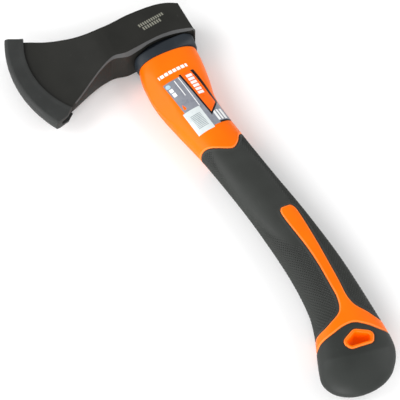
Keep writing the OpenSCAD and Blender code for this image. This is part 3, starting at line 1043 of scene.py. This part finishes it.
def spigot_ring(inset, y):
    """Outline of the collar's spigot, with the same count of points as the collar's."""
    length = EYE_LENGTH - SPIGOT_PLAY - 2 * inset
    width = EYE_WIDTH - SPIGOT_PLAY - 2 * inset
    ring = []
    for k in range(RING_POINTS):
        a = 2 * math.pi * k / RING_POINTS
        end = (length - width) / 2 * max(-1, min(1, 1.6 * math.cos(a)))
        ring.append((end + width / 2 * math.cos(a), y, width / 2 * math.sin(a)))
    return ring


def make_collar():
    """Dark ring between head and handle, with the spigot that closes the eye's mouth."""
    top, low = COLLAR_TOP, -SHOULDER_Y
    rings = [collar_ring(1.0, low, 0.0), collar_ring(0.35, low + 0.35, 0.05),
             collar_ring(0.0, low + 0.9, 0.15), collar_ring(0.0, low + 4, 0.6)]
    for inset, below in ((0.0, 2.2), (0.2, 1.3), (0.6, 0.6), (1.3, 0.15), (2.1, 0)):
        rings.append(collar_ring(inset, top - below))
    for inset, y in ((-0.6, top), (0.0, top + 0.5), (0.0, 4.2), (0.6, 4.5)):
        rings.append(spigot_ring(inset, y))
    plastic = moulded("collar_plastic", (0.0105, 0.0145, 0.0195), (0.0135, 0.0185, 0.024),
                      (0.05, 0.058, 0.066), 0.5, grain_mm=0.5, grain_depth=0.03, scuffs=0.4,
                      Specular_IOR_Level=0.3)
    collar = piece("collar_ring", loft(rings), {"ring": plastic}, "axe", "collar",
                   crease=40)
    bore(collar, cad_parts["fibreglass_core"], crease=40)


# ---------------------------------------------------------------- label
LABEL_CORNER = (-16.6, -40.3)
LABEL_TURN = math.radians(6.5)
CODE_PANEL = (-2.1, 12.3, 30.0, 52.0)  # left, right, top and low, in label millimetres
CODE_PITCH = 1.3


def half_round(y):
    """Distance round one side of the handle's section, from back to belly."""
    a = np.linspace(0, math.pi, 91)[:, None]
    x = half_width(y) * np.sign(np.cos(a)) * np.abs(np.cos(a)) ** (2 / SQUARENESS)
    z = along(GIRTH, y) * np.sin(a) ** (2 / SQUARENESS)
    return np.hypot(np.diff(x, axis=0), np.diff(z, axis=0)).sum(0)


def label_place(pq, lift):
    """Label millimetres, across and down, to points on the handle."""
    across, down = pq.T
    y = LABEL_CORNER[1] + across * math.sin(LABEL_TURN) - down * math.cos(LABEL_TURN)
    x = LABEL_CORNER[0] + across * math.cos(LABEL_TURN) + down * math.sin(LABEL_TURN)
    share = 0.5 - (x - mid_x(y)) / half_round(y)
    return skin(np.column_stack([-SHOULDER_Y - y, share * AROUND]), -lift)


def box_depth(pq, left, right, top, low):
    """Distance inside a rectangle on the label."""
    across, down = pq.T
    return np.minimum(np.minimum(across - left, right - across), np.minimum(down - top, low - down))


def strip_right(pq):
    """Right-hand side of the pointed strip."""
    return 26.6 + pq[:, 1] * 0.09


def strip_depth(pq):
    """Distance inside the pointed strip, its dark outline included."""
    across, down = pq.T
    left = 14.2 + down * 0.05
    tip = 30.6 + (29.6 - across) * 0.85
    return np.minimum(np.minimum(across - left, strip_right(pq) - across), (tip - down) * 0.8)


def strip_inner(pq):
    """Distance inside the strip's orange field, with a broader outline on the side toward the back."""
    return np.minimum(strip_depth(pq) - 1.5, strip_right(pq) - pq[:, 0] - 2.5)


def grey_depth(pq):
    """Distance inside the label's outline."""
    body = box_depth(pq, -0.3, 29.5, 0.0, 50.6)
    body = np.minimum(body, np.where(pq[:, 0] > 14.4 + pq[:, 1] * 0.05, pq[:, 1] - 28.4, 9))
    return np.maximum(np.maximum(body, box_depth(pq, *CODE_PANEL)), strip_depth(pq))


def make_label():
    """Printed film on the shoulder: a pointed orange strip, a plain code panel and bars for its print."""
    top, low = CODE_PANEL[2:]
    bars = np.arange(top + 5.2, low - 4.5, CODE_PITCH)
    # A row or column of vertices runs along every straight side of the print
    sides = [-2.1, 12.3, 12.5, 13.1, 8.4, 9.1, 1.0, 3.9, 1.2, 9.8, 18.4, 20.4, 21.4, 23.0, 24.2, 26.6]
    ends = [1.2, 3.7, 4.6, 7.1, 8.0, 10.5, 11.4, 13.9, 14.8, 17.3, 18.2, 20.7, 0, 16.9, 6.1, 9.4, 10.2,
            14.0, 38.5, 48.3, 49.2, 50.6, 30, 52, 4.2, 9.9, 11.5]
    lengths = np.concatenate([np.arange(-2.8, 30.2, 0.7), sides])
    widths = np.concatenate([np.arange(-1.4, 52.8, 0.8), bars, bars + CODE_PITCH / 2, ends])
    made = sheet(np.unique(np.round(lengths, 3)), np.unique(np.round(widths, 3)))

    def strip_text(pq):
        return box_depth(pq, 18.0, 23.2, 1.2, 20.7)

    def icon(pq):
        return 1.9 - np.hypot(pq[:, 0] - 2.1, pq[:, 1] - 3.4)

    def drop(pq):
        across, down = pq.T
        return 1.55 - np.hypot((across - 2.1) * (1.2 + np.clip(27 - down, 0, 9) * 0.35),
                               (down - 26.3) * np.where(down < 26.3, 0.42, 1))

    for outline in (grey_depth, strip_depth, strip_inner, icon, drop):
        cut(made, outline, near=0.01)

    def kind(pq):
        across, down = pq.T
        found = np.where(grey_depth(pq) > 0, "grey", "").astype("U8")

        def put(mask, name):
            found[(found != "") & mask] = name

        put((np.abs(across - 12.8) < 0.3) & (down < 30), "white")
        put((np.abs(across - 8.75) < 0.35) & (down > 1.2) & (down < 16.9), "white")
        put(icon(pq) > 0, "blue")
        put(box_depth(pq, 1.0, 3.9, 6.1, 14.0) > 0, "white")
        put(box_depth(pq, 1.0, 3.9, 9.4, 10.2) > 0, "grey")
        put(drop(pq) > 0, "orange")
        for left, right in ((18.4, 20.4), (21.4, 23.0), (24.2, 26.6)):
            put(box_depth(pq, left, right, 38.5, 48.3) > 0, "white")
        put(box_depth(pq, 18.4, 40, 49.2, 50.6) > 0, "black")
        put(strip_depth(pq) > 0, "black")
        put(strip_inner(pq) > 0, "orange")
        put((strip_inner(pq) > 0) & (strip_text(pq) > 0) & ((down - 1.2) % 3.4 < 2.5), "white")
        put(box_depth(pq, *CODE_PANEL) > 0, "panel")
        coded = box_depth(pq, 1.2, 9.8, top + 5, low - 4.4) > 0
        put(coded & ((down - bars[0]) % CODE_PITCH < CODE_PITCH / 2), "code")
        return found

    shaped = shape(made, kind, dict.fromkeys(LABEL_INKS, lambda pq: label_place(pq, LABEL_T)),
                   dict.fromkeys(LABEL_INKS, lambda pq: label_place(pq, 0.02)), mirrored=False)
    inks = {k: ink("ink_" + k, *LABEL_INKS[k]) for k in LABEL_INKS}
    piece("printed_label", shaped, inks, "axe", "product_label", crease=60, merge=0.002)


LABEL_INKS = {
    "grey": ((0.19, 0.2, 0.235), (0.23, 0.24, 0.27)),
    "white": ((0.72, 0.73, 0.73), (0.8, 0.8, 0.8)),
    "panel": ((0.54, 0.59, 0.6), (0.6, 0.64, 0.64)),
    "code": ((0.24, 0.28, 0.29), (0.32, 0.36, 0.37)),
    "black": ((0.006, 0.005, 0.005), (0.009, 0.008, 0.007)),
    "orange": ((0.88, 0.115, 0.0), (0.92, 0.13, 0.0)),
    "blue": ((0.36, 0.52, 0.62), (0.42, 0.58, 0.66)),
}

make_head()
make_guard()
make_jacket()
make_grip()
make_butt()
make_collar()
make_label()
for name, finish in (("fibreglass_core", glass_fibre()), ("eye_resin", cast_resin())):
    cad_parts[name].data.materials.clear()
    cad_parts[name].data.materials.append(finish)
